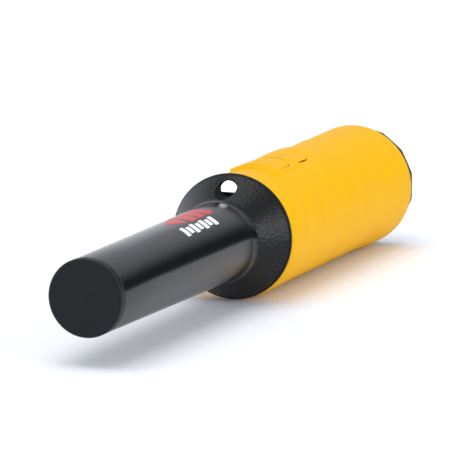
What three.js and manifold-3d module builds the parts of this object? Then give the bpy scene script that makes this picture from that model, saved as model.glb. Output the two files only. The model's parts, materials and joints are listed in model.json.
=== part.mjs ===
// A handheld pinpointer probe: a slim search tube on a round handle that takes a 9 V block battery.
// Lengths are millimetres. Stations run along the probe's axis, from the search tip at -122 to the rear
// of the battery cap at +129, with 0 where the handle starts. Inside the assembly group X is the
// station, Y is sideways and Z is height above the axis. The group puts the probe on its resting flat.
import * as THREE from "three";
import { mergeVertices } from "three/addons/utils/BufferGeometryUtils.js";
import Module from "manifold-3d";

const wasm = await Module();
wasm.setup();

// ---- driving dimensions ----
const tipStation = -122.4;
const rearStation = 129.4;
const midStation = (tipStation + rearStation) / 2;
const restHeight = 22.5; // the axis stands this high above the resting flat
const runningGap = 0.3; // between pieces that move on each other or are dropped in
const snugGap = 0.15; // between pieces that stay put

const tube = { front: -119.4, tipRadius: 12.6, baseRadius: 13.85, filletStart: -16, boreRadius: 10.6 };
const collar = {
  nose: -11.5,
  noseRadius: 14.8,
  rimRadius: 22,
  rimFront: -0.9,
  back: 0.6,
  spigotRadius: 17.1,
  spigotEnd: 10,
  boreRadius: 14.6,
  boreStart: -4,
};
const lamp = {
  sill: 15.9,
  halfWidth: 3,
  emitterHeight: 17.8,
  emitterRadius: 2.4,
  pocketHeight: 17.4,
  pocketShift: -0.35,
  pocketHalfWidth: 3.75,
  pocketHalfHeight: 2.9,
  pocketFloor: -3,
};
const sleeve = {
  start: 0.9,
  end: 124,
  boreRadius: 19.9,
  frontRadius: 21.4,
  frontCrest: 22.6,
  waistRadius: 22.3,
  rearCrest: 23,
};
const thumbRest = { end: 19, drop: 1.25, radius: 22.75 };
const finger = { pitch: 17.5, first: 17.2, count: 5, depth: 0.45, halfWidth: 4.2 };
const shell = { start: 0.9, end: 124.1, radius: 19.6, boreRadius: 17.4, seatStart: 114, seatRadius: 18.4 };
const keypad = { station: 37.8, length: 37.6, width: 22, radius: 22.2 };
const key = {
  length: 15.6,
  width: 16.4,
  corner: 5,
  topRadius: 22.5,
  plus: 29,
  minus: 46.4,
  flangeBottom: 12.8,
};
const board = { start: 12, end: 68, width: 24, bottom: 6.7, thickness: 1.6 };
const battery = { width: 26.5, height: 17.5, start: 74.2, end: 120.4, terminalPitch: 12.7 };
const cap = {
  neckStart: 115.2,
  neckRadius: 18,
  neckBore: 16.4,
  flangeStart: 124.4,
  faceInside: 125.6,
  lobes: 14,
  cornerRadius: 22.1,
};
const coilStation = { transmit: -104, receive: -76, balance: -52 };

const boardTop = board.bottom + board.thickness;
const batteryTrayEnd = shell.seatStart - 0.4;

// ---- colours and finishes ----
const finish = {
  grip: new THREE.MeshStandardMaterial({ color: 0xf4b223, roughness: 0.6, metalness: 0 }),
  smoothBlack: new THREE.MeshStandardMaterial({ color: 0x25272b, roughness: 0.32, metalness: 0 }),
  texturedBlack: new THREE.MeshStandardMaterial({ color: 0x1d1f22, roughness: 0.6, metalness: 0 }),
  innerBlack: new THREE.MeshStandardMaterial({ color: 0x2a2b2d, roughness: 0.7, metalness: 0 }),
  clear: new THREE.MeshStandardMaterial({ color: 0xf8fbff, roughness: 0.1, metalness: 0 }),
  seal: new THREE.MeshStandardMaterial({ color: 0x141414, roughness: 0.75, metalness: 0 }),
  boardGreen: new THREE.MeshStandardMaterial({ color: 0x1d5a35, roughness: 0.5, metalness: 0 }),
  chip: new THREE.MeshStandardMaterial({ color: 0x1b1b1d, roughness: 0.55, metalness: 0 }),
  steel: new THREE.MeshStandardMaterial({ color: 0xb9bcc0, roughness: 0.3, metalness: 1 }),
  brass: new THREE.MeshStandardMaterial({ color: 0xc9a55a, roughness: 0.35, metalness: 1 }),
  copper: new THREE.MeshStandardMaterial({ color: 0xb5683a, roughness: 0.4, metalness: 1 }),
  ferrite: new THREE.MeshStandardMaterial({ color: 0x3a3a3d, roughness: 0.6, metalness: 0 }),
  nylon: new THREE.MeshStandardMaterial({ color: 0xd9d6cc, roughness: 0.6, metalness: 0 }),
  foam: new THREE.MeshStandardMaterial({ color: 0x3b3d40, roughness: 0.95, metalness: 0 }),
  batteryCase: new THREE.MeshStandardMaterial({ color: 0x2b4f7d, roughness: 0.35, metalness: 0.3 }),
  leadRed: new THREE.MeshStandardMaterial({ color: 0xb3261e, roughness: 0.5, metalness: 0 }),
  leadWhite: new THREE.MeshStandardMaterial({ color: 0xe4e2dc, roughness: 0.5, metalness: 0 }),
};

// ---- building blocks ----

// A solid of revolution about the X axis from [station, radius] points, outer surface first, rear to front.
function turned(points, segments = 40) {
  const profile = points.map(([station, radius]) => new THREE.Vector2(radius, station));
  return new THREE.LatheGeometry(profile, segments).rotateZ(-Math.PI / 2);
}

// A turned ring with a rectangular section.
function ring(start, end, innerRadius, outerRadius, segments = 32) {
  return turned(
    [
      [start, innerRadius],
      [start, outerRadius],
      [end, outerRadius],
      [end, innerRadius],
      [start, innerRadius],
    ],
    segments,
  );
}

function disc(start, end, radius, segments = 32) {
  return turned(
    [
      [start, 0],
      [start, radius],
      [end, radius],
      [end, 0],
    ],
    segments,
  );
}

// A round seal: a torus about the X axis.
function sealRing(station, radius, cord) {
  return new THREE.TorusGeometry(radius, cord, 6, 36).rotateY(Math.PI / 2).translate(station, 0, 0);
}

function block(start, end, yLow, yHigh, zLow, zHigh) {
  return new THREE.BoxGeometry(end - start, yHigh - yLow, zHigh - zLow).translate(
    (start + end) / 2,
    (yLow + yHigh) / 2,
    (zLow + zHigh) / 2,
  );
}

// An upright cylinder, along Z.
function post(station, y, zLow, zHigh, radius, segments = 20) {
  return new THREE.CylinderGeometry(radius, radius, zHigh - zLow, segments)
    .rotateX(Math.PI / 2)
    .translate(station, y, (zLow + zHigh) / 2);
}

// A cylinder along X, off the main axis.
function barrel(start, end, y, z, radius, segments = 20) {
  return disc(start, end, radius, segments).translate(0, y, z);
}

// A stadium outline, long along X, extruded upwards.
function stadium(station, length, width, zLow, zHigh) {
  const radius = width / 2;
  const straight = (length - width) / 2;
  const outline = new THREE.Shape();
  outline.absarc(straight, 0, radius, -Math.PI / 2, Math.PI / 2);
  outline.absarc(-straight, 0, radius, Math.PI / 2, (3 * Math.PI) / 2);
  outline.closePath();
  return new THREE.ExtrudeGeometry(outline, { depth: zHigh - zLow, bevelEnabled: false, curveSegments: 10 })
    .translate(station, 0, zLow);
}

// An outline drawn in the YZ plane (shape x is Y, shape y is Z), extruded along X.
function alongX(outline, start, end, curveSegments = 12) {
  return new THREE.ExtrudeGeometry(outline, { depth: end - start, bevelEnabled: false, curveSegments })
    .rotateX(Math.PI / 2)
    .rotateZ(Math.PI / 2)
    .translate(start, 0, 0);
}

// ---- joins and cuts ----

function solidOf(geometry) {
  const bare = new THREE.BufferGeometry();
  const source = geometry.index ? geometry.toNonIndexed() : geometry;
  bare.setAttribute("position", source.getAttribute("position"));
  const merged = mergeVertices(bare, 1e-3);
  return new wasm.Manifold(
    new wasm.Mesh({
      numProp: 3,
      vertProperties: merged.attributes.position.array,
      triVerts: new Uint32Array(merged.index.array),
    }),
  );
}

function geometryOf(solid) {
  const mesh = solid.getMesh();
  const geometry = new THREE.BufferGeometry();
  geometry.setAttribute("position", new THREE.BufferAttribute(mesh.vertProperties, 3));
  geometry.setIndex(new THREE.BufferAttribute(mesh.triVerts, 1));
  return geometry;
}

function cut(body, ...tools) {
  return geometryOf(tools.reduce((left, tool) => left.subtract(solidOf(tool)), solidOf(body)));
}

function join(...bodies) {
  return geometryOf(bodies.map(solidOf).reduce((whole, body) => whole.add(body)));
}

function common(body, limit) {
  return geometryOf(solidOf(body).intersect(solidOf(limit)));
}

// Takes off everything below the resting flat.
function restedOnFlat(body) {
  return cut(body, block(-20, rearStation + 5, -30, 30, -40, -restHeight));
}

// ---- search tube and its tip ----

function tipCapGeometry() {
  return turned([
    [tipStation, 0],
    [tipStation, 11.7],
    [tipStation + 0.4, 12.3],
    [tipStation + 1, tube.tipRadius + 0.05],
    [tube.front - 0.25, tube.tipRadius + 0.05],
    [tube.front - 0.25, tube.boreRadius - runningGap],
    [-116, tube.boreRadius - runningGap],
    [-116, 0],
  ]);
}

// The curve that leads the tube into the cone, as [station, radius] points. Its two ends point along the
// tube and along the cone, so that it meets both without a crease.
function rootCurve() {
  const steps = 6;
  const coneSlope = (collar.rimRadius - 0.3 - collar.noseRadius) / (collar.rimFront - collar.nose);
  const bend = collar.nose - (collar.noseRadius - tube.baseRadius) / coneSlope;
  return Array.from({ length: steps + 1 }, (_, i) => {
    const t = i / steps;
    return [
      tube.filletStart * (1 - t) ** 2 + bend * 2 * t * (1 - t) + collar.nose * t ** 2,
      tube.baseRadius * (1 - t ** 2) + collar.noseRadius * t ** 2,
    ];
  });
}

// The lamp's window: an ellipse's upper half on a flat sill with rounded corners.
function lampOutline(grow = 0) {
  const outline = new THREE.Shape();
  const halfWidth = lamp.halfWidth + grow;
  const flat = lamp.sill - grow;
  const corner = 1.2;
  outline.moveTo(-halfWidth + corner, flat);
  outline.lineTo(halfWidth - corner, flat);
  outline.quadraticCurveTo(halfWidth, flat, halfWidth, flat + corner);
  outline.absellipse(0, flat + corner, halfWidth, 2.65 + grow, 0, Math.PI, false);
  outline.quadraticCurveTo(-halfWidth, flat, -halfWidth + corner, flat);
  return outline;
}

// The front housing: search tube, conical shoulder and the spigot that goes into the handle.
function frontHousingGeometry() {
  const sealGroove = { start: 5.3, end: 6.7, radius: 16.2 };
  const body = turned([
    [tube.front, tube.boreRadius],
    [tube.front, tube.tipRadius],
    ...rootCurve(),
    [collar.rimFront, collar.rimRadius - 0.3],
    [collar.rimFront + 0.4, collar.rimRadius],
    [collar.back, collar.rimRadius],
    [collar.back, collar.spigotRadius],
    [sealGroove.start, collar.spigotRadius],
    [sealGroove.start, sealGroove.radius],
    [sealGroove.end, sealGroove.radius],
    [sealGroove.end, collar.spigotRadius],
    [collar.spigotEnd, collar.spigotRadius],
    [collar.spigotEnd, collar.boreRadius],
    [collar.boreStart, collar.boreRadius],
    [collar.boreStart, tube.boreRadius],
    [tube.front, tube.boreRadius],
  ]);
  const pocket = new THREE.Shape();
  const halves = [lamp.pocketHalfWidth, lamp.pocketHalfHeight];
  pocket.absellipse(lamp.pocketShift, lamp.pocketHeight, ...halves, 0, 2 * Math.PI, false);
  return cut(
    body,
    alongX(pocket, -20, lamp.pocketFloor, 20),
    alongX(lampOutline(snugGap), lamp.pocketFloor - 0.1, -1.2, 8),
    barrel(-1.3, 2, 0, lamp.emitterHeight, lamp.emitterRadius + 0.25),
  );
}

function lampLensGeometry() {
  return alongX(lampOutline(), -3.4, -1.5, 8);
}

function lampEmitterGeometry() {
  return barrel(-1.1, 0.5, 0, lamp.emitterHeight, lamp.emitterRadius);
}

// ---- handle ----

// The sleeve's outer profile: a front crest, finger grooves, and a second crest at the rear.
function sleeveProfile() {
  const points = [
    [sleeve.start, sleeve.frontRadius],
    [2.6, 22.1],
    [8, sleeve.frontCrest],
  ];
  for (let i = 0; i < finger.count; i++) {
    const groove = finger.first + i * finger.pitch;
    points.push([groove - finger.halfWidth, sleeve.waistRadius]);
    points.push([groove, sleeve.waistRadius - finger.depth]);
    points.push([groove + finger.halfWidth, sleeve.waistRadius]);
  }
  points.push([100, sleeve.waistRadius], [111, sleeve.rearCrest], [sleeve.end - 2, sleeve.rearCrest]);
  points.push([sleeve.end - 0.6, sleeve.rearCrest - 0.3], [sleeve.end, sleeve.rearCrest - 1]);
  return points;
}

function keyOutline(grow) {
  const halfLength = key.length / 2 + grow;
  const halfWidth = key.width / 2 + grow;
  const corner = key.corner + grow;
  const outline = new THREE.Shape();
  outline.absarc(halfLength - corner, halfWidth - corner, corner, 0, Math.PI / 2);
  outline.absarc(-halfLength + corner, halfWidth - corner, corner, Math.PI / 2, Math.PI);
  outline.absarc(-halfLength + corner, -halfWidth + corner, corner, Math.PI, 1.5 * Math.PI);
  outline.absarc(halfLength - corner, -halfWidth + corner, corner, 1.5 * Math.PI, 2 * Math.PI);
  outline.closePath();
  return outline;
}

// A key's outline, grown all round, raised along Z.
function keyBlock(station, grow, zLow, zHigh) {
  const rise = { depth: zHigh - zLow, bevelEnabled: false, curveSegments: 5 };
  return new THREE.ExtrudeGeometry(keyOutline(grow), rise).translate(station, 0, zLow);
}

// The sleeve: the turned body, lowered in front of the keypad where the thumb rests.
function gripSleeveGeometry() {
  const body = turned([
    [sleeve.start, sleeve.boreRadius],
    ...sleeveProfile(),
    [sleeve.end, sleeve.boreRadius],
    [sleeve.start, sleeve.boreRadius],
  ]);
  const restBarrel = barrel(-1, 20, 0, -thumbRest.drop, thumbRest.radius, 40);
  const restCutter = cut(disc(0, thumbRest.end, 25), restBarrel);
  const pad = common(
    stadium(keypad.station, keypad.length, keypad.width, 20.2, 25),
    disc(keypad.station - 30, keypad.station + 30, keypad.radius, 96),
  );
  const windows = [key.plus, key.minus].map((station) => keyBlock(station, runningGap, 10, 30));
  return restedOnFlat(cut(join(cut(body, restCutter), pad), ...windows));
}

function handleShellGeometry() {
  const body = turned([
    [shell.start, shell.boreRadius],
    [shell.start, shell.radius],
    [shell.end, shell.radius],
    [shell.end, shell.seatRadius],
    [shell.seatStart, shell.seatRadius],
    [shell.seatStart, shell.boreRadius],
    [shell.start, shell.boreRadius],
  ]);
  return cut(body, ...[key.plus, key.minus].map((station) => keyBlock(station, runningGap, 10, 30)));
}

// A key: its top follows the handle's round, and the shell holds it in by a flange on two sides.
function keyGeometry(station) {
  const flangeReach = key.width / 2 + 1.2;
  const flangeTop = key.flangeBottom + 1.3;
  const button = keyBlock(station, 0, key.flangeBottom, 25);
  const roundTop = disc(station - 20, station + 20, key.topRadius, 96);
  const flange = block(station - 6, station + 6, -flangeReach, flangeReach, key.flangeBottom, flangeTop);
  return join(common(button, roundTop), flange);
}

function plungerGeometry(station) {
  return post(station, 0, 9.5, key.flangeBottom - 0.1, 1.6, 16);
}

function switchGeometry(station) {
  const half = 3.1;
  const body = block(station - half, station + half, -half, half, boardTop + 0.1, 12.1);
  return cut(body, post(station, 0, boardTop - 1, 14, 1.9, 16));
}

// ---- circuit ----

const screwSpots = [
  [24, -9],
  [62, -9],
];
const motor = { start: 46.2, end: 56.8, height: -1.8, radius: 3.6 };

function mainBoardGeometry() {
  const plate = block(board.start, board.end, -board.width / 2, board.width / 2, board.bottom, boardTop);
  return cut(plate, ...screwSpots.map(([station, y]) => post(station, y, 0, 20, 1.3, 12)));
}

function chassisGeometry() {
  const deck = block(board.start, 68.6, -15.9, 15.9, 4.2, 5.4);
  const leftRail = block(board.start, 68.6, -13.2, -11.7, -8, 4.3);
  const rightRail = block(board.start, 68.6, 11.7, 13.2, -8, 4.3);
  const bulkhead = block(66.6, 68.6, -12, 12, -8, 4.3);
  const saddle = block(47.5, 55.5, -4.6, 4.6, -1, 4.3);
  const bosses = screwSpots.map(([station, y]) => post(station, y, 2, 6.5, 2.4, 16));
  return cut(
    join(deck, leftRail, rightRail, bulkhead, saddle, ...bosses),
    barrel(46, 57, 0, motor.height, motor.radius + snugGap, 24),
    ...screwSpots.map(([station, y]) => post(station, y, 0, 8, 1.3, 12)),
  );
}

function boardScrewGeometry([station, y]) {
  const screw = join(post(station, y, boardTop + 0.1, 9.8, 2.1, 16), post(station, y, 2.4, 9, 1.05, 12));
  return cut(screw, block(station - 1.6, station + 1.6, y - 0.3, y + 0.3, 9.2, 11));
}

// The motor's eccentric weight: a half disc on its shaft.
function eccentricWeightGeometry() {
  const start = motor.end + runningGap;
  const half = cut(
    barrel(start + 1, start + 5, 0, motor.height, 3.2),
    block(start, start + 7, -5, 5, motor.height, motor.height + 5),
  );
  return join(barrel(start, start + 5.6, 0, motor.height, 0.8, 12), half);
}

// A thin insulated lead through the given points.
function leadGeometry(points) {
  const route = new THREE.CatmullRomCurve3(points.map((p) => new THREE.Vector3(...p)));
  const section = new THREE.Shape();
  section.absarc(0, 0, 0.7, 0, 2 * Math.PI);
  return new THREE.ExtrudeGeometry(section, { steps: 22, extrudePath: route, curveSegments: 4 });
}

// ---- search coils ----

function coilFormerGeometry() {
  const core = 6.4;
  const flange = 9.3;
  const flangeThickness = 1.5;
  const edges = [-114, -95, -87, -66, -58, -47, -41];
  const points = [[edges[0], 4.7], [edges[0], flange]];
  edges.slice(0, -1).forEach((edge, i) => {
    if (i > 0) points.push([edge, core], [edge, flange]);
    points.push([edge + flangeThickness, flange], [edge + flangeThickness, core]);
  });
  points.push([-41, core], [-41, 4.7], [edges[0], 4.7]);
  return turned(points, 24);
}

function coilGeometry(start, end, outerRadius) {
  return ring(start, end, 6.7, outerRadius, 24);
}

// ---- battery and its cap ----

function batteryTrayGeometry() {
  const body = disc(71.6, batteryTrayEnd, shell.boreRadius - runningGap, 40);
  const y = battery.width / 2 + runningGap;
  const z = battery.height / 2 + runningGap;
  return cut(body, block(70, 120, -y, y, -z, z));
}

function batteryGeometry() {
  const y = battery.width / 2;
  const z = battery.height / 2;
  const corner = 1.8;
  const outline = new THREE.Shape();
  outline.absarc(y - corner, z - corner, corner, 0, Math.PI / 2);
  outline.absarc(-y + corner, z - corner, corner, Math.PI / 2, Math.PI);
  outline.absarc(-y + corner, -z + corner, corner, Math.PI, 1.5 * Math.PI);
  outline.absarc(y - corner, -z + corner, corner, 1.5 * Math.PI, 2 * Math.PI);
  outline.closePath();
  return alongX(outline, battery.start, battery.end, 4);
}

// The battery cap: a lobed head on a neck that screws into the shell, with a coin slot in its face.
function endCapGeometry() {
  const sealGroove = { start: 118.9, end: 120.5, radius: 17.2 };
  const neck = turned([
    [cap.neckStart, cap.neckBore],
    [cap.neckStart, cap.neckRadius],
    [sealGroove.start, cap.neckRadius],
    [sealGroove.start, sealGroove.radius],
    [sealGroove.end, sealGroove.radius],
    [sealGroove.end, cap.neckRadius],
    [cap.flangeStart + 0.5, cap.neckRadius],
    [cap.flangeStart + 0.5, 0],
    [cap.flangeStart + 0.2, 0],
    [cap.flangeStart + 0.2, cap.neckBore],
    [cap.neckStart, cap.neckBore],
  ]);
  const head = turned(
    [
      [cap.flangeStart, 0],
      [cap.flangeStart, cap.cornerRadius - 1],
      [cap.flangeStart + 1, cap.cornerRadius],
      [rearStation - 1.4, cap.cornerRadius],
      [rearStation - 0.4, cap.cornerRadius - 0.5],
      [rearStation, cap.cornerRadius - 1.4],
      [rearStation, 0],
    ],
    cap.lobes,
  );
  const bay = disc(cap.neckStart - 1, cap.faceInside, cap.neckBore, 40);
  const coinSlot = block(rearStation - 2, rearStation + 2, -11, 11, -1.3, 1.3);
  return cut(join(neck, head), bay, coinSlot);
}

function pressurePlateGeometry() {
  return disc(124.2, cap.faceInside - 0.1, cap.neckBore - runningGap, 36);
}

// ---- assembly ----

const assembly = new THREE.Group();
assembly.position.set(-midStation, 0, restHeight);

function add(name, geometry, material) {
  const mesh = new THREE.Mesh(geometry, material);
  mesh.name = name;
  assembly.add(mesh);
}

add("tip_cap", tipCapGeometry(), finish.smoothBlack);
add("front_housing", frontHousingGeometry(), finish.smoothBlack);
add("housing_seal", sealRing(6, 16.8, 0.45), finish.seal);
add("lamp_lens", lampLensGeometry(), finish.clear);
add("lamp_emitter", lampEmitterGeometry(), finish.clear);

add("grip_sleeve", gripSleeveGeometry(), finish.grip);
add("handle_shell", handleShellGeometry(), finish.innerBlack);
for (const side of ["plus", "minus"]) {
  add(`${side}_key`, keyGeometry(key[side]), finish.grip);
  add(`${side}_plunger`, plungerGeometry(key[side]), finish.nylon);
  add(`${side}_switch`, switchGeometry(key[side]), finish.chip);
}

add("circuit_chassis", chassisGeometry(), finish.innerBlack);
add("main_board", mainBoardGeometry(), finish.boardGreen);
add("board_screw_front", boardScrewGeometry(screwSpots[0]), finish.steel);
add("board_screw_rear", boardScrewGeometry(screwSpots[1]), finish.steel);
add("processor_chip", block(34, 41.6, -4, 4, boardTop + 0.1, boardTop + 1.3), finish.chip);
add("filter_capacitor", post(16.5, -3, boardTop + 0.1, 14, 3), finish.batteryCase);
add("drive_inductor", post(63.5, 7.5, boardTop + 0.1, 12.3, 3.2), finish.ferrite);
add("coil_connector", block(13.4, 19.6, 6, 11.4, boardTop + 0.1, 12.4), finish.nylon);
add("sounder", post(33, 0, -0.8, 3.9, 9, 32), finish.chip);
add("vibration_motor", barrel(motor.start, motor.end, 0, motor.height, motor.radius, 24), finish.steel);
add("eccentric_weight", eccentricWeightGeometry(), finish.steel);
const leadHeights = {
  coil_lead_start: [-1.3, 7.4, finish.leadRed],
  coil_lead_finish: [1.3, 10, finish.leadWhite],
};
for (const [name, [y, endY, material]] of Object.entries(leadHeights)) {
  const route = [[-39.5, y, 5.6], [-30, y, 2.4], [-12, y, 1.5], [3, y * 1.6, 4], [12.6, endY, 10.3]];
  add(name, leadGeometry(route), material);
}

add("tip_foam", disc(-115.7, -114.3, 9), finish.foam);
add("ferrite_rod", disc(-114, -41, 4.5), finish.ferrite);
add("coil_former", coilFormerGeometry(), finish.nylon);
add("transmit_coil", coilGeometry(coilStation.transmit - 8.3, coilStation.transmit + 8.8, 8.9), finish.copper);
add("receive_coil", coilGeometry(coilStation.receive - 9.3, coilStation.receive + 9.8, 8.6), finish.copper);
add("balance_coil", coilGeometry(coilStation.balance - 4.3, coilStation.balance + 4.8, 8.2), finish.copper);
add("shield_tube", ring(-115, -37, 9.6, 10.3), finish.copper);
add("centring_ring", cut(ring(-36.7, -33.5, 5.2, 10.3), block(-40, -30, -3, 3, 0, 20)), finish.nylon);

add("battery_tray", batteryTrayGeometry(), finish.innerBlack);
add("contact_board", block(69, 70.6, -12, 12, -8, 8), finish.boardGreen);
add("positive_contact", barrel(70.7, 71.9, -battery.terminalPitch / 2, 0, 2.6), finish.brass);
add("negative_contact", barrel(70.7, 71.9, battery.terminalPitch / 2, 0, 2.6), finish.brass);
add("battery_block", batteryGeometry(), finish.batteryCase);
add("positive_terminal", barrel(72.1, 74.1, -battery.terminalPitch / 2, 0, 2.9), finish.steel);
add("negative_terminal", barrel(72.1, 74.1, battery.terminalPitch / 2, 0, 4.1), finish.steel);

add("end_cap", endCapGeometry(), finish.texturedBlack);
add("cap_seal", sealRing(119.7, 17.8, 0.45), finish.seal);
add("pressure_plate", pressurePlateGeometry(), finish.nylon);
add("pressure_foam", disc(120.6, 124.1, 12), finish.foam);

const part = new THREE.Group();
part.add(assembly);

export default part;
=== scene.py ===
import json
import math

import bmesh
import bpy
from mathutils import Matrix, Vector


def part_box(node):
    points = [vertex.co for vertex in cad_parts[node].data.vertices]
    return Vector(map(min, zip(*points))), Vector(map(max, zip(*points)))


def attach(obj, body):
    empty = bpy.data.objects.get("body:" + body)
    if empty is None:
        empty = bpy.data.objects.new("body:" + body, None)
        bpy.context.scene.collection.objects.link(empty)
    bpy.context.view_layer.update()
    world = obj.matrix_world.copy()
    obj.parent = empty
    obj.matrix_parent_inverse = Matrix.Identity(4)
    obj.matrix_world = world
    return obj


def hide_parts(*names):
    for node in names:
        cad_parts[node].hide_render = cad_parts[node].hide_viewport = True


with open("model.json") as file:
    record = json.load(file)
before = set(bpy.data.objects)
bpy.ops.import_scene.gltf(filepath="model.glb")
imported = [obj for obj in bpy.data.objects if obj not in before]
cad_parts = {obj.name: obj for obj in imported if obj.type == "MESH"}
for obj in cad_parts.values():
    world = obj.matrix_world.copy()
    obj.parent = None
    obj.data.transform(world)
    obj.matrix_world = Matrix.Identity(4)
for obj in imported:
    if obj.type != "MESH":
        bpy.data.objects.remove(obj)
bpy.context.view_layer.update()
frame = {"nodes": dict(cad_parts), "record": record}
nodes = frame["nodes"]

# The probe lies along X. A place on it is given as station (mm behind the sleeve's front plane),
# angle (degrees from the top, towards -Y) and radius (mm from the axis).
mm = 0.001
sleeveFront = 0.9  # the sleeve's front edge stands this far behind station 0
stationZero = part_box("grip_sleeve")[0].x - sleeveFront * mm
axisHeight = sum(corner.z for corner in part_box("front_housing")) / 2


def place(station, angle, radius):
    turn = math.radians(angle)
    return Vector((
        stationZero + station * mm,
        -radius * math.sin(turn) * mm,
        axisHeight + radius * math.cos(turn) * mm,
    ))


def stationOf(x):
    return (x - stationZero) / mm


def smoothStep(low, high, value):
    t = min(max((value - low) / (high - low), 0), 1)
    return t * t * (3 - 2 * t)


def blendCurve(points, x):
    # smooth height between [x, height] points
    if x <= points[0][0]:
        return points[0][1]
    for (x0, y0), (x1, y1) in zip(points, points[1:]):
        if x <= x1:
            return y0 + (y1 - y0) * smoothStep(x0, x1, x)
    return points[-1][1]


# mesh tools

def markSharp(mesh, angle):
    bm = bmesh.new()
    bm.from_mesh(mesh)
    bmesh.ops.remove_doubles(bm, verts=bm.verts, dist=1e-6)
    bmesh.ops.dissolve_degenerate(bm, edges=bm.edges, dist=1e-7)
    bmesh.ops.recalc_face_normals(bm, faces=bm.faces)
    limit = math.radians(angle)
    for edge in bm.edges:
        edge.smooth = len(edge.link_faces) == 2 and edge.calc_face_angle() < limit
    for face in bm.faces:
        face.smooth = True
    bm.to_mesh(mesh)
    bm.free()
    mesh.update()


def makePiece(name, points, faces, materials, faceMaterial=None, sharp=32):
    mesh = bpy.data.meshes.new(name)
    mesh.from_pydata([tuple(p) for p in points], [], faces)
    for material in materials:
        mesh.materials.append(material)
    if faceMaterial:
        for polygon in mesh.polygons:
            polygon.material_index = faceMaterial(polygon.center)
    markSharp(mesh, sharp)
    piece = bpy.data.objects.new(name, mesh)
    bpy.context.scene.collection.objects.link(piece)
    return piece


def roundedOutline(corners, steps=5, closed=True):
    # corners are (a, b, fillet); each is turned into a short curve that meets both its sides
    outline = []
    count = len(corners)
    for i, (a, b, fillet) in enumerate(corners):
        here = Vector((a, b))
        if fillet == 0 or (not closed and i in (0, count - 1)):
            outline.append((a, b))
            continue
        before = Vector(corners[i - 1][:2]) - here
        after = Vector(corners[(i + 1) % count][:2]) - here
        reach = fillet / math.tan(before.angle(after) / 2)
        reach = min(reach, before.length * 0.49, after.length * 0.49)
        start = here + before.normalized() * reach
        end = here + after.normalized() * reach
        for k in range(steps + 1):
            t = k / steps
            spot = start * (1 - t) ** 2 + here * (2 * t * (1 - t)) + end * t * t
            outline.append((spot.x, spot.y))
    return outline


def turnedPiece(name, outline, materials, segments=160, faceMaterial=None, radiusAt=None, sharp=32):
    # outline is a loop of (station, radius); an end on the axis becomes a single point
    points, faces, rows = [], [], []
    for station, radius in outline:
        if radius < 1e-6:
            rows.append([len(points)])
            points.append(place(station, 0, 0))
            continue
        rows.append(list(range(len(points), len(points) + segments)))
        for k in range(segments):
            angle = 360 * k / segments
            reach = radiusAt(station, angle, radius) if radiusAt else radius
            points.append(place(station, angle, reach))
    pairs = list(zip(rows, rows[1:]))
    if len(rows[0]) > 1 and len(rows[-1]) > 1:
        pairs.append((rows[-1], rows[0]))
    for low, high in pairs:
        for k in range(segments):
            n = (k + 1) % segments
            if len(low) == 1 and len(high) == 1:
                break
            if len(low) == 1:
                faces.append((low[0], high[n], high[k]))
            elif len(high) == 1:
                faces.append((low[k], low[n], high[0]))
            else:
                faces.append((low[k], low[n], high[n], high[k]))
    return makePiece(name, points, faces, materials, faceMaterial, sharp)


def prism(name, outline, low, high, toPoint, materials, sharp=32):
    # outline (a, b) carried from low to high by toPoint(a, b, c)
    count = len(outline)
    points = [toPoint(a, b, c) for c in (low, high) for a, b in outline]
    faces = [tuple(range(count)), tuple(range(2 * count - 1, count - 1, -1))]
    faces += [(k, k + count, (k + 1) % count + count, (k + 1) % count) for k in range(count)]
    return makePiece(name, points, faces, materials, sharp=sharp)


def softRectangle(length, width, corner, steps=8, parts=6):
    # a rounded rectangle round the origin; its straight sides are divided so that they can follow a curve
    corner = max(corner, 0.02)
    outline = []
    sides = [(1, 1), (-1, 1), (-1, -1), (1, -1)]
    for turn, (a, b) in enumerate(sides):
        centre = Vector((a * (length / 2 - corner), b * (width / 2 - corner)))
        arc = []
        for k in range(steps + 1):
            angle = math.pi / 2 * (turn + k / steps)
            arc.append(centre + corner * Vector((math.cos(angle), math.sin(angle))))
        if outline:
            outline += [outline[-1].lerp(arc[0], k / parts) for k in range(1, parts)]
        outline += arc
    outline += [outline[-1].lerp(outline[0], k / parts) for k in range(1, parts)]
    return [tuple(spot) for spot in outline]


def softDistance(a, b, length, width, corner):
    # distance from a rounded rectangle: negative inside, positive outside
    alongSide = abs(a) - length / 2 + corner
    acrossSide = abs(b) - width / 2 + corner
    outside = math.hypot(max(alongSide, 0), max(acrossSide, 0))
    return outside + min(max(alongSide, acrossSide), 0) - corner


def settle(piece, sharp=32):
    bpy.context.view_layer.update()
    graph = bpy.context.evaluated_depsgraph_get()
    mesh = bpy.data.meshes.new_from_object(piece.evaluated_get(graph))
    piece.modifiers.clear()
    piece.data = mesh
    markSharp(mesh, sharp)


def carve(piece, *cutters, operation="DIFFERENCE", sharp=32):
    for cutter in cutters:
        step = piece.modifiers.new("carve", "BOOLEAN")
        step.operation = operation
        step.solver = "EXACT"
        step.material_mode = "TRANSFER"
        step.object = cutter
        settle(piece, sharp)
        bpy.data.objects.remove(cutter)
    return piece


def finishPiece(piece, body, slotName, *replaced):
    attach(piece, body)
    if replaced:
        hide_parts(*replaced)
    return piece


# shader tools

def addNode(tree, kind, values=None, **settings):
    node = tree.nodes.new(kind)
    for key, value in settings.items():
        setattr(node, key, value)
    for key, value in (values or {}).items():
        if isinstance(value, bpy.types.NodeSocket):
            tree.links.new(value, node.inputs[key])
        else:
            node.inputs[key].default_value = value
    return node


def linear(red, green, blue):
    # display values 0 to 255 as a shader colour
    def channel(value):
        value /= 255
        return value / 12.92 if value <= 0.04045 else ((value + 0.055) / 1.055) ** 2.4
    return (channel(red), channel(green), channel(blue), 1)


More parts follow.
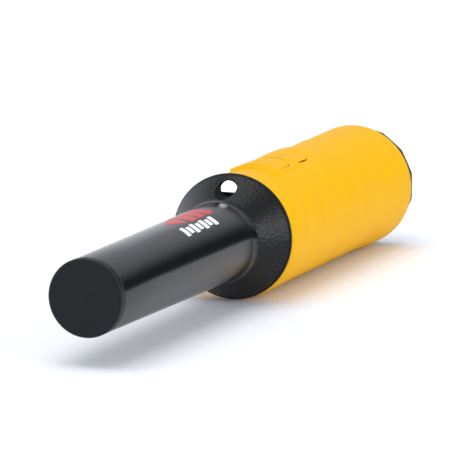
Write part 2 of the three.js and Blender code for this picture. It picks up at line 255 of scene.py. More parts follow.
def effectGroup(name, inputs, outputs):
    group = bpy.data.node_groups.new(name, "ShaderNodeTree")
    kinds = {"value": "NodeSocketFloat", "colour": "NodeSocketColor"}
    for label, kind, start in inputs:
        socket = group.interface.new_socket(label, in_out="INPUT", socket_type=kinds[kind])
        socket.default_value = start
    for label, kind in outputs:
        group.interface.new_socket(label, in_out="OUTPUT", socket_type=kinds[kind])
    return group, group.nodes.new("NodeGroupInput").outputs, group.nodes.new("NodeGroupOutput").inputs


def sizedCoordinates(group, sizeSocket):
    # object coordinates divided by a feature size in millimetres
    spot = addNode(group, "ShaderNodeTexCoord").outputs["Object"]
    perSize = addNode(group, "ShaderNodeMath", {0: 1000.0, 1: sizeSocket}, operation="DIVIDE").outputs[0]
    return addNode(group, "ShaderNodeVectorMath", {0: spot, "Scale": perSize}, operation="SCALE").outputs[0]


def noiseSwing(group, noise, amount):
    # the noise as a swing either way round zero
    centred = addNode(group, "ShaderNodeMath", {0: noise.outputs["Fac"], 1: 0.5}, operation="SUBTRACT")
    swing = addNode(group, "ShaderNodeMath", {0: centred.outputs[0], 1: amount}, operation="MULTIPLY")
    return swing.outputs[0]


def makeMouldGrain():
    # the pebbled skin that a spark-eroded mould leaves
    group, given, out = effectGroup(
        "mouldGrain",
        [("Grain Size", "value", 1.0), ("Sharpness", "value", 0.5)],
        [("Height", "value")],
    )
    spot = sizedCoordinates(group, given["Grain Size"])
    cells = addNode(group, "ShaderNodeTexVoronoi", {"Vector": spot, "Scale": 1.0}, feature="SMOOTH_F1")
    cells.inputs["Smoothness"].default_value = 0.35
    ripple = addNode(group, "ShaderNodeTexNoise", {
        "Vector": spot, "Scale": 1.7, "Detail": 3.0, "Roughness": 0.6,
    })
    mixed = addNode(group, "ShaderNodeMix", {
        0: given["Sharpness"], 2: ripple.outputs["Fac"], 3: cells.outputs["Distance"],
    }).outputs[0]
    group.links.new(mixed, out["Height"])
    return group


def makeColourDrift():
    # slow uneven patches, as in any moulded or printed surface
    group, given, out = effectGroup(
        "colourDrift",
        [
            ("Colour", "colour", (0.5, 0.5, 0.5, 1)),
            ("Patch Size", "value", 12.0),
            ("Amount", "value", 0.1),
        ],
        [("Colour", "colour")],
    )
    spot = sizedCoordinates(group, given["Patch Size"])
    noise = addNode(group, "ShaderNodeTexNoise", {
        "Vector": spot, "Scale": 1.0, "Detail": 4.0, "Roughness": 0.55,
    })
    swing = noiseSwing(group, noise, given["Amount"])
    gain = addNode(group, "ShaderNodeMath", {0: swing, 1: 1.0}, operation="ADD")
    tinted = addNode(group, "ShaderNodeVectorMath", {
        0: given["Colour"], "Scale": gain.outputs[0],
    }, operation="SCALE")
    group.links.new(tinted.outputs[0], out["Colour"])
    return group


def makeHandling():
    # roughness that wanders a little where hands and cloth have been
    group, given, out = effectGroup(
        "handling",
        [("Roughness", "value", 0.5), ("Smear Size", "value", 8.0), ("Amount", "value", 0.1)],
        [("Roughness", "value")],
    )
    spot = sizedCoordinates(group, given["Smear Size"])
    stretched = addNode(group, "ShaderNodeVectorMath", {0: spot, 1: (0.35, 1.0, 1.0)}, operation="MULTIPLY")
    noise = addNode(
        group, "ShaderNodeTexNoise",
        {"Vector": stretched.outputs[0], "Scale": 1.0, "Detail": 5.0, "Roughness": 0.7, "Distortion": 0.4},
    )
    swing = noiseSwing(group, noise, given["Amount"])
    total = addNode(group, "ShaderNodeMath", {
        0: swing, 1: given["Roughness"],
    }, operation="ADD", use_clamp=True)
    group.links.new(total.outputs[0], out["Roughness"])
    return group


def makeEdgeRub():
    # paler rubbed edges, broken up by fine noise
    group, given, out = effectGroup(
        "edgeRub",
        [
            ("Colour", "colour", (0.5, 0.5, 0.5, 1)),
            ("Rubbed", "colour", (0.6, 0.6, 0.6, 1)),
            ("Amount", "value", 0.3),
        ],
        [("Colour", "colour")],
    )
    bend = addNode(group, "ShaderNodeNewGeometry").outputs["Pointiness"]
    edges = addNode(group, "ShaderNodeMapRange", {"Value": bend, "From Min": 0.53, "From Max": 0.62})
    spot = addNode(group, "ShaderNodeTexCoord").outputs["Object"]
    noise = addNode(group, "ShaderNodeTexNoise", {"Vector": spot, "Scale": 900.0, "Detail": 3.0})
    broken = addNode(group, "ShaderNodeMath", {
        0: edges.outputs[0], 1: noise.outputs["Fac"],
    }, operation="MULTIPLY")
    mask = addNode(group, "ShaderNodeMath", {
        0: broken.outputs[0], 1: given["Amount"],
    }, operation="MULTIPLY", use_clamp=True)
    mixed = addNode(group, "ShaderNodeMix", {0: mask.outputs[0]}, data_type="RGBA")
    group.links.new(given["Colour"], mixed.inputs[6])
    group.links.new(given["Rubbed"], mixed.inputs[7])
    group.links.new(mixed.outputs[2], out["Colour"])
    return group


effects = {
    "grain": makeMouldGrain(),
    "drift": makeColourDrift(),
    "handling": makeHandling(),
    "rub": makeEdgeRub(),
}


def effect(tree, name, values):
    node = addNode(tree, "ShaderNodeGroup", node_tree=effects[name])
    for key, value in values.items():
        if isinstance(value, bpy.types.NodeSocket):
            tree.links.new(value, node.inputs[key])
        else:
            node.inputs[key].default_value = value
    return node


def makeFinish(name, look):
    # one maker for every solid finish: colour with drift and rubbed edges, handled gloss, moulded grain
    material = bpy.data.materials.new(name)
    material.use_nodes = True
    tree = material.node_tree
    shader = tree.nodes["Principled BSDF"]
    drift = effect(tree, "drift", {
        "Colour": look["colour"],
        "Patch Size": look.get("patchSize", 12.0),
        "Amount": look.get("drift", 0.12),
    })
    rub = effect(tree, "rub", {
        "Colour": drift.outputs["Colour"],
        "Rubbed": look.get("rubbed", tuple(min(c * 1.6 + 0.01, 1) for c in look["colour"][:3]) + (1,)),
        "Amount": look.get("rub", 0.2),
    })
    tree.links.new(rub.outputs["Colour"], shader.inputs["Base Color"])
    gloss = effect(tree, "handling", {
        "Roughness": look["roughness"],
        "Amount": look.get("smear", 0.1),
    })
    tree.links.new(gloss.outputs["Roughness"], shader.inputs["Roughness"])
    grain = effect(tree, "grain", {
        "Grain Size": look.get("grainSize", 0.25), "Sharpness": look.get("grainSharpness", 0.4),
    })
    bump = addNode(tree, "ShaderNodeBump", {
        "Height": grain.outputs["Height"], "Strength": look.get("grainStrength", 0.3),
        "Distance": look.get("grainDepth", 0.02) * mm,
    })
    tree.links.new(bump.outputs[0], shader.inputs["Normal"])
    for socket, value in look.get("shader", {}).items():
        shader.inputs[socket].default_value = value
    return material


looks = {
    "softGrip": dict(
        colour=linear(226, 170, 5), drift=0.04, patchSize=25, roughness=0.56, smear=0.08, rub=0.08,
        rubbed=linear(252, 200, 80), grainSize=0.35, grainStrength=0.5, grainDepth=0.03,
        shader={"Specular IOR Level": 0.1},
    ),
    "satinBlack": dict(
        colour=linear(19, 20, 23), drift=0.1, roughness=0.18, smear=0.05, rub=0.1,
        grainSize=0.12, grainStrength=0.15, grainDepth=0.004, shader={"Specular IOR Level": 0.3},
    ),
    "tipBlack": dict(
        colour=linear(18, 20, 23), drift=0.12, roughness=0.45, smear=0.08, rub=0.25,
        grainSize=0.14, grainStrength=0.3, grainDepth=0.01, shader={"Specular IOR Level": 0.2},
    ),
    "pebbledBlack": dict(
        colour=linear(9, 10, 12), drift=0.2, roughness=0.3, smear=0.1, rub=0.1, grainSize=1.0,
        grainSharpness=0.6, grainStrength=0.9, grainDepth=0.24, shader={"Specular IOR Level": 0.22},
    ),
    "rimBlack": dict(
        colour=linear(13, 14, 15), roughness=0.5, rub=0.0, grainSize=0.2, shader={"Specular IOR Level": 0.12},
    ),
    "pocketBlack": dict(
        colour=linear(14, 15, 17), roughness=0.75, rub=0.0, grainSize=0.3,
        shader={"Specular IOR Level": 0.05},
    ),
    "capBlack": dict(
        colour=linear(34, 35, 38), drift=0.15, roughness=0.48, smear=0.12, rub=0.35,
        grainSize=0.3, grainStrength=0.5, grainDepth=0.03,
    ),
    "innerBlack": dict(colour=linear(42, 43, 45), roughness=0.6, grainSize=0.3),
    "sealRubber": dict(
        colour=linear(20, 20, 20), roughness=0.7, grainSize=0.2, grainStrength=0.4, grainDepth=0.01,
    ),
    "boardGreen": dict(colour=linear(24, 84, 48), roughness=0.38, patchSize=3, drift=0.3, grainSize=0.5),
    "chipBlack": dict(colour=linear(26, 26, 28), roughness=0.55, grainSize=0.1, grainStrength=0.4),
    "platedSteel": dict(
        colour=linear(196, 198, 202), roughness=0.28, smear=0.2, rub=0.3, grainSize=0.2,
        shader={"Metallic": 1.0},
    ),
    "springBrass": dict(
        colour=linear(214, 174, 92), roughness=0.3, smear=0.2, rub=0.3, grainSize=0.2,
        shader={"Metallic": 1.0},
    ),
    "ferriteGrey": dict(colour=linear(62, 62, 66), roughness=0.6, grainSize=0.15, grainStrength=0.5),
    "nylonNatural": dict(
        colour=linear(222, 218, 206), roughness=0.5, grainSize=0.3, shader={"Subsurface Weight": 0.1},
    ),
    "closedFoam": dict(
        colour=linear(60, 62, 66), roughness=0.9, grainSize=0.5, grainSharpness=0.8, grainStrength=1.0,
        grainDepth=0.2,
    ),
    "batteryWrap": dict(
        colour=linear(38, 74, 122), roughness=0.32, patchSize=6, grainSize=0.4, shader={"Coat Weight": 0.3},
    ),
    "leadRed": dict(colour=linear(176, 40, 32), roughness=0.45, grainSize=0.2),
    "leadWhite": dict(colour=linear(228, 226, 218), roughness=0.45, grainSize=0.2),
    "markWhite": dict(
        colour=linear(236, 237, 238), roughness=0.4, drift=0.1, patchSize=2, rub=0.0, grainSize=0.1,
    ),
    "markRed": dict(
        colour=linear(190, 34, 38), roughness=0.4, drift=0.2, patchSize=2, rub=0.0, grainSize=0.1,
    ),
}
finishes = {name: makeFinish(name, look) for name, look in looks.items()}


def makeCopperWinding():
    # enamelled wire laid side by side: fine rings round the axis
    material = makeFinish("copperWinding", dict(
        colour=linear(176, 98, 52), roughness=0.32, drift=0.4, patchSize=2, shader={"Metallic": 1.0},
    ))
    tree = material.node_tree
    spot = addNode(tree, "ShaderNodeTexCoord").outputs["Object"]
    turns = addNode(
        tree, "ShaderNodeTexWave", {"Vector": spot, "Scale": 600.0, "Distortion": 0.3},
        wave_type="BANDS", bands_direction="X",
    )
    bump = addNode(tree, "ShaderNodeBump", {
        "Height": turns.outputs["Fac"], "Strength": 0.8, "Distance": 0.1 * mm,
    })
    tree.links.new(bump.outputs[0], tree.nodes["Principled BSDF"].inputs["Normal"])
    return material


def makeLampGlow():
    # the lit window: white light through a faintly ribbed diffuser
    glow = {"colour": linear(255, 255, 255), "strength": 1.6, "ribSize": 0.45}
    material = makeFinish("lampGlow", dict(
        colour=linear(240, 243, 248), roughness=0.2, drift=0.02, rub=0.0,
        grainSize=0.6, grainStrength=0.2, grainDepth=0.02, shader={"Coat Weight": 0.4},
    ))
    tree = material.node_tree
    shader = tree.nodes["Principled BSDF"]
    ribs = effect(tree, "drift", {"Colour": glow["colour"], "Patch Size": glow["ribSize"], "Amount": 0.08})
    tree.links.new(ribs.outputs["Colour"], shader.inputs["Emission Color"])
    shader.inputs["Emission Strength"].default_value = glow["strength"]
    return material


finishes["copperWinding"] = makeCopperWinding()
finishes["lampGlow"] = makeLampGlow()
print("finishes:", len(finishes))

# camera

view = {"azimuth": 22.03, "dip": 9.89, "lens": 243.4, "sensor": 36.0, "spot": (-1014.64, -410.86, 212.5)}


def makeCamera():
    data = bpy.data.cameras.new("camera")
    data.sensor_width = view["sensor"]
    data.lens = view["lens"]
    data.clip_end = 50
    camera = bpy.data.objects.new("camera", data)
    bpy.context.scene.collection.objects.link(camera)
    yaw, dip = math.radians(view["azimuth"]), math.radians(view["dip"])
    ahead = Vector((math.cos(dip) * math.cos(yaw), math.cos(dip) * math.sin(yaw), -math.sin(dip)))
    right = ahead.cross(Vector((0, 0, 1))).normalized()
    turned = Matrix((right, right.cross(ahead), -ahead)).transposed()
    camera.matrix_world = Matrix.Translation(Vector(view["spot"]) * mm) @ turned.to_4x4()
    bpy.context.scene.camera = camera


makeCamera()
print("camera placed")

# tip cap

tip = {"front": -122.4, "back": -119.65, "faceRadius": 11.7, "radius": 12.65, "plug": 10.3, "plugEnd": -116.0,
       "gateRadius": 0.8, "gateRise": 0.12, "dish": 0.1}


def makeTipCap():
    front, dish = tip["front"], tip["dish"]
    gateTop = front + dish - tip["gateRise"] / 2
    outline = [
        (gateTop, 0), (gateTop, tip["gateRadius"] * 0.6),
        (front + dish, tip["gateRadius"]), (front + dish, tip["faceRadius"] - 1.1),
    ]
    outline += roundedOutline([
        (front + dish, tip["faceRadius"] - 1.0, 0), (front, tip["faceRadius"] - 0.5, 0.3),
        (front, tip["faceRadius"] + 0.2, 0.2), (front + 0.35, tip["radius"] - 0.2, 0.3),
        (front + 1.0, tip["radius"], 0.6), (tip["back"], tip["radius"], 0.45),
        (tip["back"], tip["plug"], 0.1), (tip["plugEnd"], tip["plug"], 0.4), (tip["plugEnd"], 0, 0),
    ], closed=False)
    piece = turnedPiece("tipCap", outline, [finishes["tipBlack"]], segments=192)
    return finishPiece(piece, "root", "smooth_black", "tip_cap")


makeTipCap()
print("tip cap made")

# search tube and shoulder

housing = {"front": -119.4, "frontRadius": 12.6, "baseRadius": 13.85, "filletStart": -15.6, "nose": -11.0,
           "noseRadius": 15.05, "rimFront": -0.95, "rimBack": 0.55, "rimRadius": 22.0, "bore": 10.6,
           "spigot": 17.1, "spigotEnd": 10.0, "sealFront": 5.3, "sealBack": 6.7, "sealRadius": 16.2,
           "hollowStart": -4.0, "hollowRadius": 14.6, "coneEdge": 0.25, "coneShort": 0.4}
lampPlace = {"height": 17.4, "pocketWidth": 7.5, "pocketHeight": 5.8, "pocketShift": -0.35,
             "pocketFloor": -3.0, "windowWidth": 6.0, "windowLow": 15.9, "windowHigh": 19.75,
             "windowFront": -3.4, "wellWidth": 5.3, "wellHeight": 17.8, "sillCorner": 1.2,
             "seatEnd": -1.2, "lensBack": -1.6}


def housingOutline():
    h = housing
    rimEdge, coneEnd = h["rimRadius"] - h["coneEdge"], h["rimFront"] - h["coneShort"]
    # the curve between tube and cone starts along the one and ends along the other
    slope = (rimEdge - h["noseRadius"]) / (h["rimFront"] - h["nose"])
    start, end = Vector((h["filletStart"], h["baseRadius"])), Vector((h["nose"], h["noseRadius"]))
    bend = Vector((h["nose"] - (h["noseRadius"] - h["baseRadius"]) / slope, h["baseRadius"] + 0.03))
    fillet = []
    for k in range(13):
        t = k / 12
        fillet.append(tuple(start * (1 - t) ** 2 + bend * (2 * t * (1 - t)) + end * t * t))
    mouth = roundedOutline([
        (h["front"], h["bore"], 0), (h["front"], h["frontRadius"], 0.45), (*fillet[0], 0),
    ], closed=False)
    stretch = [(h["front"] + (h["filletStart"] - h["front"]) * t,
                h["frontRadius"] + (h["baseRadius"] - h["frontRadius"]) * t) for t in (0.25, 0.5, 0.75)]
    cone = [(h["nose"] + (coneEnd - h["nose"]) * t, h["noseRadius"] + slope * (coneEnd - h["nose"]) * t)
            for t in (0.25, 0.5, 0.75, 1)]
    shoulder = roundedOutline([
        *[(*spot, 0) for spot in cone],
        (h["rimFront"], rimEdge, 0.15), (h["rimFront"] + 0.4, h["rimRadius"], 0.15),
        (h["rimBack"], h["rimRadius"], 0.2), (h["rimBack"], h["spigot"], 0.1),
        (h["sealFront"], h["spigot"], 0), (h["sealFront"], h["sealRadius"], 0),
        (h["sealBack"], h["sealRadius"], 0), (h["sealBack"], h["spigot"], 0),
        (h["spigotEnd"], h["spigot"], 0.4), (h["spigotEnd"], h["hollowRadius"], 0),
        (h["hollowStart"], h["hollowRadius"], 0), (h["hollowStart"], h["bore"], 0),
        (h["front"], h["bore"], 0),
    ], closed=False)
    return mouth[:-1] + stretch + fillet + shoulder[:-1]


def ellipseOutline(width, height, aside, centre, steps=64):
    turns = [2 * math.pi * k / steps for k in range(steps)]
    return [(aside + width / 2 * math.cos(turn), centre + height / 2 * math.sin(turn)) for turn in turns]


def windowOutline(grow=0.0):
    # half an ellipse standing on a flat sill with rounded corners
    w = lampPlace
    half, low, high = w["windowWidth"] / 2 + grow, w["windowLow"] - grow, w["windowHigh"] + grow
    corner = w["sillCorner"]
    outline = roundedOutline([
        (-half, low + corner, 0), (-half, low, corner), (half, low, corner), (half, low + corner, 0),
    ], steps=6, closed=False)
    for k in range(1, 24):
        turn = math.pi * k / 24
        outline.append((half * math.cos(turn), low + corner + (high - low - corner) * math.sin(turn)))
    return outline


def acrossAxis(y, z, station):
    return Vector((stationZero + station * mm, y * mm, axisHeight + z * mm))


def makeHousing():
    smooth, pebbled, rim = finishes["satinBlack"], finishes["pebbledBlack"], finishes["rimBlack"]
    hollow = finishes["pocketBlack"]

    def skin(centre):
        station = stationOf(centre.x)
        radius = math.hypot(centre.y, centre.z - axisHeight) / mm
        if radius < housing["noseRadius"] - 0.6 or station < housing["nose"] - 1.5:
            return 0
        return 1 if station < housing["rimFront"] - 0.4 else 2

    piece = turnedPiece("frontHousing", housingOutline(), [smooth, pebbled, rim], segments=256,
                        faceMaterial=skin, sharp=40)
    w = lampPlace
    oval = ellipseOutline(w["pocketWidth"], w["pocketHeight"], w["pocketShift"], w["height"])
    pocket = prism("pocket", oval, -20, w["pocketFloor"], acrossAxis, [hollow])
    seat = prism("seat", windowOutline(0.12), w["pocketFloor"] - 0.1, w["seatEnd"], acrossAxis, [hollow])
    circle = ellipseOutline(w["wellWidth"], w["wellWidth"], 0, w["wellHeight"], 40)
    well = prism("well", circle, w["seatEnd"] - 0.1, 2, acrossAxis, [hollow])
    carve(piece, pocket, seat, well, sharp=40)
    return finishPiece(piece, "root", "smooth_black", "front_housing")


def makeLamp():
    w = lampPlace
    outline = windowOutline()
    centre = (w["windowLow"] + w["windowHigh"]) / 2
    rings = [(1.0, w["lensBack"]), (1.0, w["windowFront"] + 0.45), (0.97, w["windowFront"] + 0.25),
             (0.9, w["windowFront"] + 0.12), (0.7, w["windowFront"] + 0.04), (0.4, w["windowFront"])]
    points, faces = [], []
    for scale, station in rings:
        points += [acrossAxis(y * scale, centre + (z - centre) * scale, station) for y, z in outline]
    count = len(outline)
    for row in range(len(rings) - 1):
        for k in range(count):
            n = (k + 1) % count
            low, high = row * count, (row + 1) * count
            faces.append((low + k, low + n, high + n, high + k))
    faces.append(tuple(range(count)))
    faces.append(tuple(range((len(rings) - 1) * count, len(rings) * count)))
    piece = makePiece("lampWindow", points, faces, [finishes["lampGlow"]])
    return finishPiece(piece, "root", "clear", "lamp_lens")


makeHousing()
makeLamp()
print("housing and lamp made")

# printed marks on the tube

marks = {"rise": 0.045, "blocks": 7, "blockStart": -59.5, "blockPitch": 3.85, "blockWidth": 2.7,
         "blockAngle": 32.0, "blockHeights": (4.2, 3.0), "arrowStart": -59.0, "headLength": 9.0,
         "barPitch": 6.9, "barLength": 5.3, "barLean": 2.2, "bars": 3, "arrowWidth": 7.6, "arrowAngle": 2.5}


def tubeRadius(station):
    h = housing
    t = (station - h["front"]) / (h["filletStart"] - h["front"])
    return h["frontRadius"] + (h["baseRadius"] - h["frontRadius"]) * t


def makeMark(name, corners, angle, material, rows=8, columns=12):
    # a four-cornered patch (station, distance round the tube) laid on the tube as a thin film of ink
    a, b, c, d = (Vector(corner) for corner in corners)
    points, faces = [], []
    for rise in (marks["rise"], 0.004):
        for i in range(rows + 1):
            low, high = a.lerp(b, i / rows), d.lerp(c, i / rows)
            for k in range(columns + 1):
                station, around = low.lerp(high, k / columns)
                radius = tubeRadius(station)
                points.append(place(station, angle + math.degrees(around / radius), radius + rise))
    wide = columns + 1
    layer = wide * (rows + 1)
    for i in range(rows):
        for k in range(columns):
            corner = i * wide + k
            patch = (corner, corner + 1, corner + wide + 1, corner + wide)
            faces += [patch, tuple(n + layer for n in reversed(patch))]
    rim = list(range(wide)) + [i * wide + columns for i in range(1, rows + 1)]
    rim += [rows * wide + k for k in range(columns - 1, -1, -1)] + [i * wide for i in range(rows - 1, 0, -1)]
    faces += [(n, m, m + layer, n + layer) for n, m in zip(rim, rim[1:] + rim[:1])]
    piece = makePiece(name, points, faces, [material], sharp=50)
    return finishPiece(piece, "root", "smooth_black")


def makeMarks():
    m = marks
    for k in range(m["blocks"]):
        start, half = m["blockStart"] + k * m["blockPitch"], m["blockHeights"][k % 2] / 2
        end = start + m["blockWidth"]
        corners = [(start, -half), (end, -half), (end, half), (start, half)]
        makeMark(f"scaleBlock{k + 1}", corners, m["blockAngle"], finishes["markWhite"])
    start, half = m["arrowStart"], m["arrowWidth"] / 2
    neck = start + m["headLength"]
    makeMark("arrowHead", [(start, -0.3), (neck, -half), (neck, half), (start, 0.3)], m["arrowAngle"],
             finishes["markRed"])
    for k in range(m["bars"]):
        low = neck + 1.3 + k * m["barPitch"]
        high = low + m["barLength"]
        corners = [(low, -half), (high, -half), (high + m["barLean"], half), (low + m["barLean"], half)]
        makeMark(f"arrowBar{k + 1}", corners, m["arrowAngle"], finishes["markRed"])


makeMarks()
print("marks printed")

# grip sleeve

grip = {"end": 124.0, "bore": 19.9, "floor": 22.5, "edge": 1.1, "nominal": 22.3,
        "grooveFirst": 17.2, "groovePitch": 17.5, "grooves": 5, "grooveHalf": 6.0, "grooveDepth": 0.27,
        "topTo": 32.0, "sideFrom": 66.0, "stationStep": 0.5, "segments": 288,
        "sideLine": [(0.9, 21.6), (4.2, 22.3), (8.5, 22.58), (14, 22.5), (20, 22.3), (97, 22.3), (111, 22.95),
                     (125, 22.98)],
        "topLine": [(0.9, 21.55), (5, 21.36), (10, 21.04), (15, 20.84), (18, 20.9), (30, 21.55), (49, 21.8),
                    (52.5, 22.4), (61, 22.68), (68, 22.05), (74, 21.86), (83, 22.05), (92, 22.38),
                    (101, 22.27), (109, 22.6), (118, 22.76), (125, 22.94)]}
# the raised pad round the keys; its moat and the keys' seats are shallow, and its rear end tapers
pad = {"station": 36.4, "length": 36.0, "width": 22.0, "corner": 4.0, "radius": 22.1, "slope": 1.2,
       "taper": 0.34, "taperSpan": (33, 50), "moat": 0.16, "moatWidth": 0.9, "seatDip": 0.1, "seatWidth": 0.7,
       "bay": 6.0, "bayHalf": 19.6, "bayGrows": (38, 48), "bayFades": (56, 70)}
keyShape = {"length": 15.6, "width": 16.4, "corner": 5.0, "gap": 0.16, "radius": 22.4, "crown": 0.3,
            "edge": 0.5, "flangeLength": 12.0, "flangeWidth": 18.8, "flangeDepth": 1.3, "signRise": 0.08,
            "signLength": 6.2, "signWidth": 1.3}
keyStations = {}
for keyName in ("plus", "minus"):
    keyLow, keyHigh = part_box(f"{keyName}_key")
    keyStations[keyName] = stationOf((keyLow.x + keyHigh.x) / 2)


def keyWindow():
    k = keyShape
    return k["length"] + 2 * k["gap"], k["width"] + 2 * k["gap"], k["corner"] + k["gap"]


def sleeveRadius(station, angle):
    # the side profile has finger grooves; the top is lower in front of the keypad, where the thumb rests
    g = grip
    side = blendCurve(g["sideLine"], station)
    for k in range(g["grooves"]):
        away = abs(station - g["grooveFirst"] - k * g["groovePitch"]) / g["grooveHalf"]
        if away < 1:
            side -= g["grooveDepth"] * (0.5 + 0.5 * math.cos(math.pi * away))
    signed = (angle + 180) % 360 - 180
    around = math.radians(signed) * g["nominal"]
    # the keypad's bay has a rounded rear end
    bay = pad["bay"] * math.cos(math.pi * min(abs(around) / pad["bayHalf"], 1))
    bay *= smoothStep(*pad["bayGrows"], station) * (1 - smoothStep(*pad["bayFades"], station))
    body = blendCurve(g["topLine"], station - bay)
    body += (side - body) * smoothStep(g["topTo"], g["sideFrom"], abs(signed))
    if abs(around) < 15 and abs(station - pad["station"]) < 24:
        narrowed = around * (1 + pad["taper"] * smoothStep(*pad["taperSpan"], station))
        gap = softDistance(station - pad["station"], narrowed, pad["length"], pad["width"], pad["corner"])
        body += (pad["radius"] - body) * (1 - smoothStep(-pad["slope"], 0, gap))
        body -= pad["moat"] * max(0, 1 - abs(gap - 0.3) / pad["moatWidth"]) ** 1.5
        for centre in keyStations.values():
            near = softDistance(station - centre, around, *keyWindow())
            body -= pad["seatDip"] * max(0, 1 - max(near, 0) / pad["seatWidth"]) ** 2
    # the rear edge is rounded over, the front edge a little
    for toEdge, rounding in ((g["end"] - station, g["edge"]), (station - sleeveFront, 0.5)):
        if toEdge < rounding:
            body -= rounding - math.sqrt(max(rounding ** 2 - (rounding - toEdge) ** 2, 0))
    down = -math.cos(math.radians(angle))
    return min(body, g["floor"] / down) if down > 0.9 else body


def makeSleeve():
    g = grip
    count = round((g["end"] - sleeveFront) / g["stationStep"])
    stations = [sleeveFront + (g["end"] - sleeveFront) * k / count for k in range(count + 1)]
    stations[1:1] = [sleeveFront + 0.05, sleeveFront + 0.15, sleeveFront + 0.3]
    stations[-1:-1] = [g["end"] - 0.3, g["end"] - 0.12, g["end"] - 0.03]
    outline = [(s, 1.0) for s in stations] + [(g["end"], g["bore"]), (sleeveFront, g["bore"])]

    def radiusAt(station, angle, radius):
        return radius if radius > 1.5 else sleeveRadius(station, angle)

    piece = turnedPiece(
        "gripSleeve", outline, [finishes["softGrip"]], segments=g["segments"], radiusAt=radiusAt, sharp=50
    )
    for station in keyStations.values():
        hole = prism("hole", softRectangle(*keyWindow()), 12, 30,
                     lambda a, b, c, s=station: acrossAxis(-b, c, s + a), [finishes["softGrip"]])
        carve(piece, hole, sharp=50)
    return finishPiece(piece, "root", "grip", "grip_sleeve")


def makeKey(name):
    # a soft rounded block whose top follows the handle's round, over a flange hidden in the shell
    k = keyShape
    station = keyStations[name]
    flangeLow = (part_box(f"{name}_key")[0].z - axisHeight) / mm
    layers = [(0.0, flangeLow, True), (0.0, 20.4, True)]
    for step in range(6):
        turn = math.pi / 2 * step / 5
        layers.append((k["edge"] * (1 - math.cos(turn)), k["edge"] * (1 - math.sin(turn)), False))
    while layers[-1][0] < k["width"] / 2 - 0.8:
        layers.append((layers[-1][0] + 0.6, 0.0, False))
    points, faces, rows = [], [], []
    for inset, level, flat in layers:
        rows.append(len(points))
        for a, b in softRectangle(k["length"] - 2 * inset, k["width"] - 2 * inset, k["corner"] - inset):
            crown = k["crown"] * (2 * b / k["width"]) ** 2
            z = level if flat else math.sqrt(k["radius"] ** 2 - b ** 2) - crown - level
            points.append(acrossAxis(-b, z, station + a))
    count = rows[1]
    for low, high in zip(rows, rows[1:]):
        faces += [(low + n, low + (n + 1) % count, high + (n + 1) % count, high + n) for n in range(count)]
    faces.append(tuple(range(count)))
    faces.append(tuple(range(rows[-1], rows[-1] + count)))
    piece = makePiece(f"{name}Key", points, faces, [finishes["softGrip"]], sharp=40)
    flange = prism(
        "flange", softRectangle(k["flangeLength"], k["flangeWidth"], 0.4), flangeLow,
        flangeLow + k["flangeDepth"], lambda a, b, c: acrossAxis(-b, c, station + a), [finishes["softGrip"]],
    )
    carve(piece, flange, operation="UNION", sharp=40)
    return finishPiece(piece, f"{name}_key", "grip", f"{name}_key")


def makeSign(name):
    long, wide = keyShape["signLength"], keyShape["signWidth"]
    bars = {"plus": [(long, wide), (wide, long)], "minus": [(wide, long)]}[name]
    station = keyStations[name]
    sign = None
    for length, width in bars:
        bar = prism(
            f"{name}Sign", softRectangle(length, width, 0.45), -0.25, keyShape["signRise"],
            lambda a, b, c: acrossAxis(-b, math.sqrt(keyShape["radius"] ** 2 - b ** 2) + c, station + a),
            [finishes["softGrip"]],
        )
        sign = carve(sign, bar, operation="UNION") if sign else bar
    return finishPiece(sign, f"{name}_key", "grip")


makeSleeve()
for keyName in keyStations:
    makeKey(keyName)
    makeSign(keyName)
print("sleeve and keys made")

# battery cap

batteryCap = {"front": 124.4, "back": 129.4, "lobes": 14, "corner": 22.1, "softness": 0.2, "neck": 18.0,
              "neckStart": 115.2, "bore": 16.4, "bayEnd": 125.6, "grooveStart": 118.9, "grooveEnd": 120.5,
              "grooveRadius": 17.2, "slotLength": 22.0, "slotWidth": 2.6, "slotDepth": 2.0}


def makeBatteryCap():
    c = batteryCap
    outline = roundedOutline([
        (c["neckStart"], c["bore"], 0.2), (c["neckStart"], c["neck"], 0.5),
        (c["grooveStart"], c["neck"], 0.1), (c["grooveStart"], c["grooveRadius"], 0),
        (c["grooveEnd"], c["grooveRadius"], 0),
        (c["grooveEnd"], c["neck"], 0.1), (c["front"], c["neck"], 0.1), (c["front"], c["corner"], 0.7),
        (c["back"] - 0.7, c["corner"], 0.9), (c["back"], c["corner"] - 1.4, 0.8),
        (c["back"], 16.2, 0.2), (c["back"] - 0.35, 15.8, 0.2), (c["back"] - 0.35, 14.6, 0.2),
        (c["back"], 14.2, 0.2),
    ], closed=False)
    outline += [(c["back"], 13.0), (c["back"], 0), (c["bayEnd"], 0), (c["bayEnd"], c["bore"])]
    flat = c["corner"] * math.cos(math.pi / c["lobes"])

    def lobed(station, angle, radius):
        if radius < c["neck"] + 0.1 or station < c["front"] - 0.01:
            return radius
        step = 360 / c["lobes"]
        fromFlat = math.radians((angle % step) - step / 2)
        side = flat / math.cos(fromFlat)
        soft = c["softness"]
        # the smaller of the two, blended where they meet
        both = math.exp(-side / soft) + math.exp(-(c["corner"] - 0.02) / soft)
        crown = -soft * math.log(both) + soft * 0.02
        share = (radius - c["neck"]) / (c["corner"] - c["neck"])
        return radius + (crown - c["corner"]) * min(share * 1.4, 1)

    piece = turnedPiece("batteryCap", outline, [finishes["capBlack"]], segments=336, radiusAt=lobed, sharp=38)
    slot = prism("slot", softRectangle(c["slotLength"], c["slotWidth"], 0.6), c["back"] - c["slotDepth"],
                 c["back"] + 2, acrossAxis, [finishes["capBlack"]])
    carve(piece, slot, sharp=38)
    return finishPiece(piece, "battery_cap", "textured_black", "end_cap")


makeBatteryCap()
print("battery cap made")

# finishes of the pieces inside

